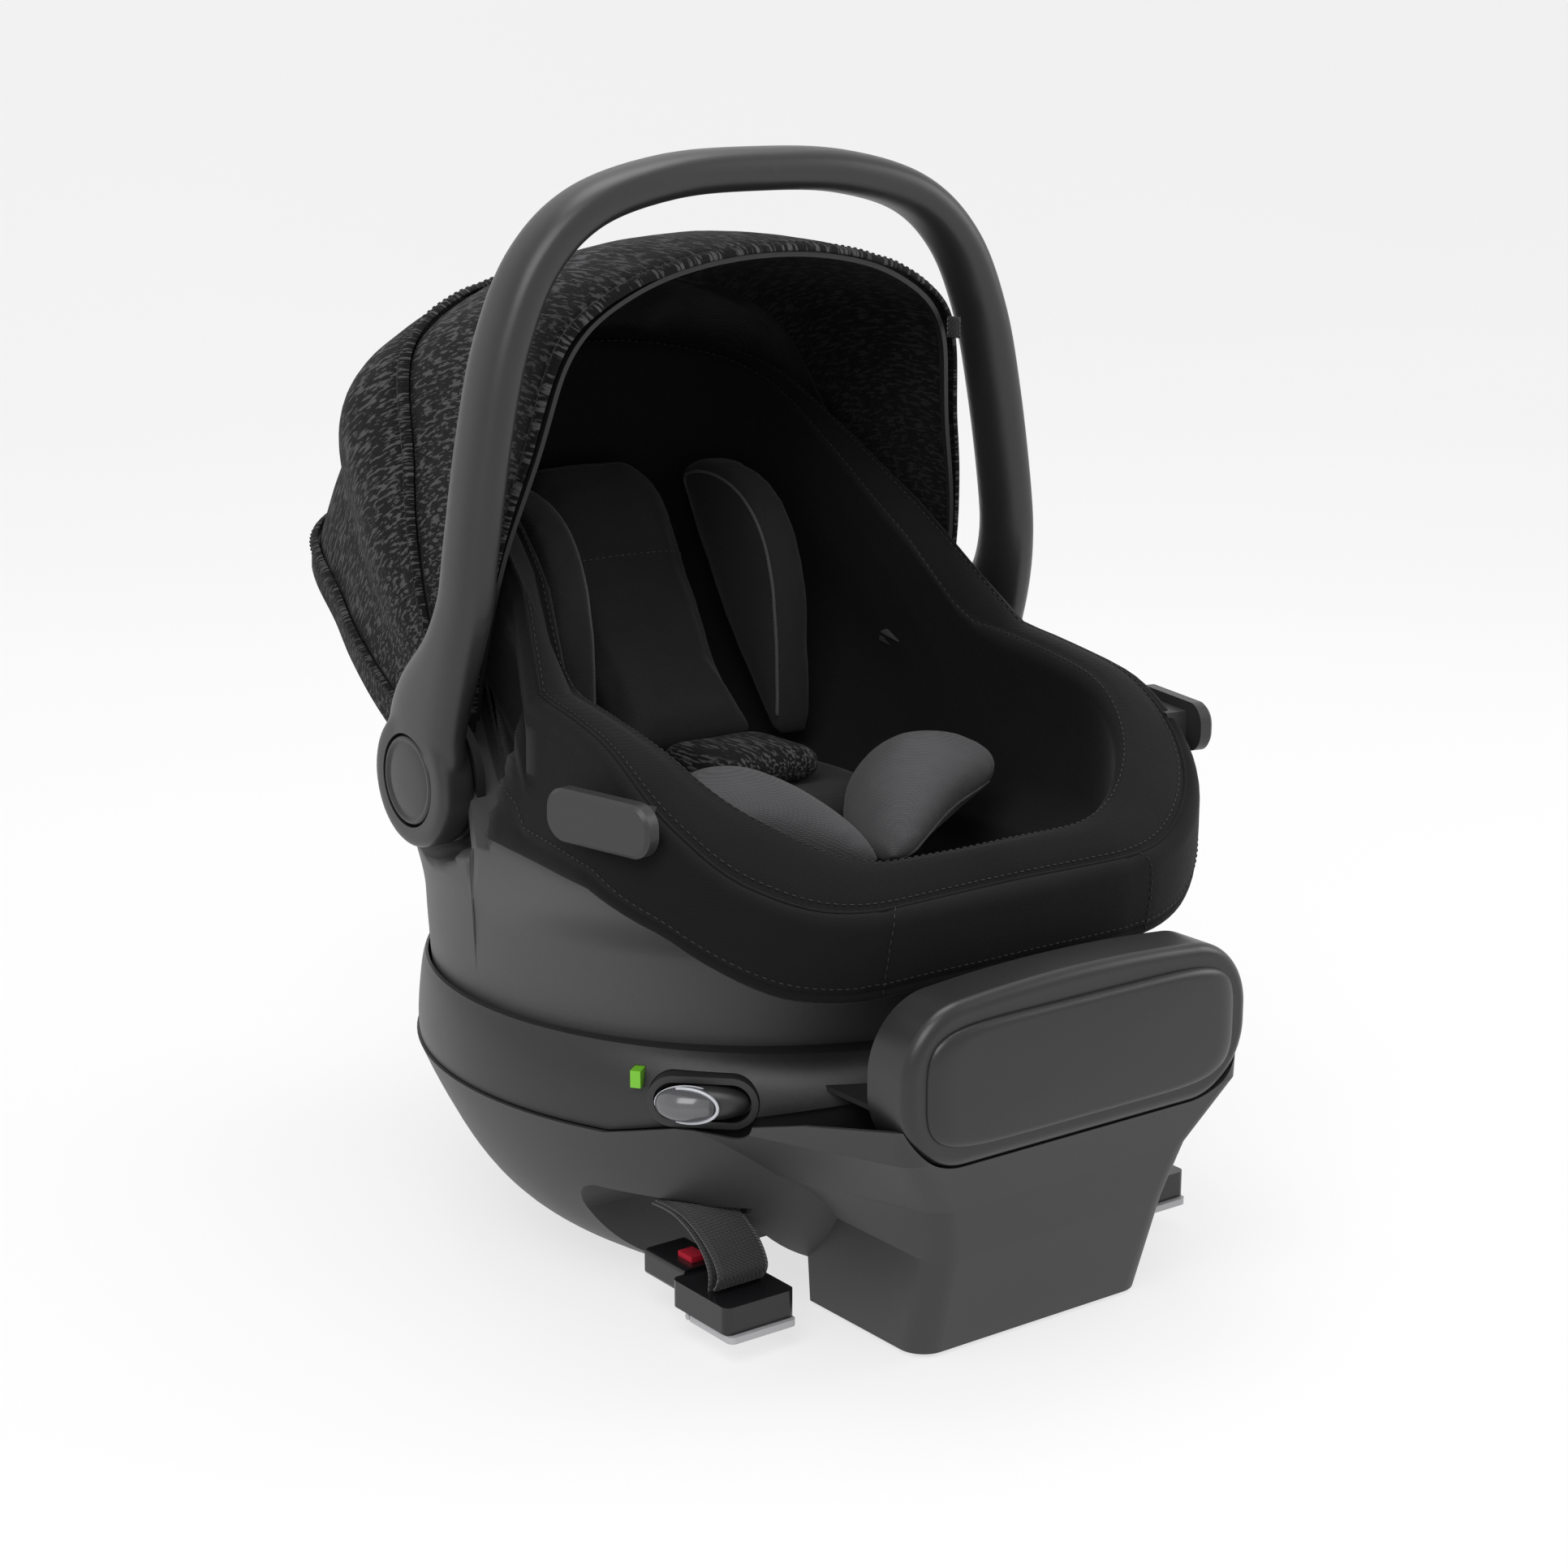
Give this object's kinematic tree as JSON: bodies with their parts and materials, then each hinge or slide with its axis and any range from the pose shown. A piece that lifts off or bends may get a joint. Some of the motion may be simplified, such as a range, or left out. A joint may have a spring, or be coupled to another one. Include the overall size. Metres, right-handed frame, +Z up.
{
  "type": "infant car seat",
  "caption": "Rear-facing infant car seat: padded shell with folding canopy and swing-over carry handle, on a rotating base with an anti-rebound bar.",
  "frame": {"origin": "on the turntable's axis, at the underside of the non-slip pads", "axes": "+Z up, -Y towards the baby's feet and the anti-rebound bar, X across the seat"},
  "size_m": [0.4462, 0.6548, 0.651],
  "materials": {
    "shell_plastic": "fine-grained matte charcoal",
    "trim_plastic": "satin near-black with a fine grain",
    "base_plastic": "fine-grained matte charcoal",
    "handle_plastic": "smooth satin dark grey",
    "lever_plastic": "glossy silver-grey",
    "bezel_plastic": "satin grey with a bright rim",
    "indicator_green": "glossy green",
    "key_red": "glossy red",
    "adjuster_black": "gloss black",
    "adjuster_lever_grey": "semi-gloss light grey",
    "webbing_black": "woven polyester webbing",
    "cover_fabric": "smooth knitted near-black fabric",
    "insert_fabric": "brushed knit, charcoal",
    "pad_fabric": "brushed knit, mid grey",
    "heather_fabric": "black heather jersey with pale dashes",
    "canopy_fabric": "black heather jersey with pale dashes",
    "bow_plastic": "black moulded strip",
    "steel": "plain steel",
    "bearing_plastic": "natural nylon",
    "pad_rubber": "matt black rubber"
  },
  "bodies": {
    "base": {"lower_body": "base_plastic", "upper_housing": "trim_plastic", "rebound_bar": "trim_plastic", "rebound_panel": "trim_plastic", "grip_pads": "pad_rubber", "bearing_ring": "bearing_plastic", "spindle": "steel", "spindle_nut": "steel", "housing_screws": "steel", "rotate_bezel_left": "bezel_plastic", "rotate_bezel_right": "bezel_plastic", "rotate_indicator_left": "indicator_green", "rotate_indicator_right": "indicator_green", "anchor_webbing_left": "webbing_black", "anchor_webbing_right": "webbing_black", "webbing_adjuster_left": "adjuster_black", "webbing_adjuster_right": "adjuster_black", "anchor_connector_left": "adjuster_black", "anchor_connector_right": "adjuster_black"},
    "rotate_key_left": {"rotate_button_left": "lever_plastic"},
    "rotate_key_right": {"rotate_button_right": "lever_plastic"},
    "anchor_key_left": {"anchor_release_key_left": "key_red"},
    "anchor_key_right": {"anchor_release_key_right": "key_red"},
    "strap_lever_left": {"adjuster_lever_left": "adjuster_lever_grey"},
    "strap_lever_right": {"adjuster_lever_right": "adjuster_lever_grey"},
    "rotor": {"turntable": "trim_plastic", "dock_bar_front": "steel", "dock_bar_rear": "steel"},
    "carrier": {"seat_shell": "shell_plastic", "seat_cover": "cover_fabric", "dock_frame": "trim_plastic", "body_insert": "insert_fabric", "seat_cushion": "insert_fabric", "belly_pad": "heather_fabric", "canopy_rear_panel": "canopy_fabric", "canopy_rear_bow": "bow_plastic", "head_wing_left": "insert_fabric", "head_wing_right": "insert_fabric", "hip_pad_left": "pad_fabric", "hip_pad_right": "pad_fabric", "belt_guide_left": "trim_plastic", "belt_guide_right": "trim_plastic", "belt_guide_bracket_left": "trim_plastic", "belt_guide_bracket_right": "trim_plastic", "handle_mount_left": "trim_plastic", "handle_mount_right": "trim_plastic"},
    "trigger": {"release_trigger": "trim_plastic"},
    "handle": {"handle_arch": "handle_plastic"},
    "handle_key_left": {"handle_button_left": "handle_plastic"},
    "handle_key_right": {"handle_button_right": "handle_plastic"},
    "canopy_middle": {"canopy_mid_panel": "canopy_fabric", "canopy_mid_bow": "bow_plastic"},
    "canopy_front": {"canopy_front_panel": "canopy_fabric", "canopy_front_bow": "bow_plastic", "canopy_tag": "canopy_fabric"}
  },
  "joints": [
    {"name": "rotate_press_left", "type": "slide", "parent": "base", "child": "rotate_key_left", "axis": [0.6947, 0.7193, 0], "range_m": [0, 0.006], "stiffness_N_per_m": 600, "springref_m": -0.004},
    {"name": "rotate_press_right", "type": "slide", "parent": "base", "child": "rotate_key_right", "axis": [-0.6947, 0.7193, 0], "range_m": [0, 0.006], "stiffness_N_per_m": 600, "springref_m": -0.004},
    {"name": "anchor_press_left", "type": "slide", "parent": "base", "child": "anchor_key_left", "axis": [0, 0, -1], "range_m": [0, 0.0025], "stiffness_N_per_m": 400, "springref_m": -0.003},
    {"name": "anchor_press_right", "type": "slide", "parent": "base", "child": "anchor_key_right", "axis": [0, 0, -1], "range_m": [0, 0.0025], "stiffness_N_per_m": 400, "springref_m": -0.003},
    {"name": "strap_lever_lift_left", "type": "hinge", "parent": "base", "child": "strap_lever_left", "pos_m": [-0.15, -0.1665, 0.0154], "axis": [1, 0, 0], "range_deg": [0, 20], "stiffness_Nm_per_rad": 0.4, "springref_deg": -8.59},
    {"name": "strap_lever_lift_right", "type": "hinge", "parent": "base", "child": "strap_lever_right", "pos_m": [0.15, -0.1665, 0.0154], "axis": [1, 0, 0], "range_deg": [0, 20], "stiffness_Nm_per_rad": 0.4, "springref_deg": -8.59},
    {"name": "seat_turn", "type": "hinge", "parent": "base", "child": "rotor", "pos_m": [0, 0, 0], "axis": [0, 0, 1], "range_deg": [-90, 90]},
    {"name": "carrier_lift", "type": "slide", "parent": "rotor", "child": "carrier", "axis": [0, 0, 1], "range_m": [0, 0.3]},
    {"name": "trigger_squeeze", "type": "slide", "parent": "carrier", "child": "trigger", "axis": [0, 0, 1], "range_m": [0, 0.008], "stiffness_N_per_m": 500, "springref_m": -0.004},
    {"name": "handle_turn", "type": "hinge", "parent": "carrier", "child": "handle", "pos_m": [0, 0.05, 0.29], "axis": [1, 0, 0], "range_deg": [-96, 18]},
    {"name": "handle_press_left", "type": "slide", "parent": "handle", "child": "handle_key_left", "axis": [1, 0, 0], "range_m": [0, 0.003], "stiffness_N_per_m": 800, "springref_m": -0.003},
    {"name": "handle_press_right", "type": "slide", "parent": "handle", "child": "handle_key_right", "axis": [-1, 0, 0], "range_m": [0, 0.003], "stiffness_N_per_m": 800, "springref_m": -0.003},
    {"name": "canopy_fold", "type": "hinge", "parent": "carrier", "child": "canopy_middle", "pos_m": [0, 0.05, 0.29], "axis": [-1, 0, 0], "range_deg": [0, 15]},
    {"name": "canopy_front_fold", "type": "hinge", "parent": "canopy_middle", "child": "canopy_front", "pos_m": [0, 0.05, 0.29], "axis": [-1, 0, 0], "range_deg": [0, 28.5]}
  ],
  "couplings": [
    {"joint": "canopy_front_fold", "follows": "canopy_fold", "ratio": 1.9}
  ]
}
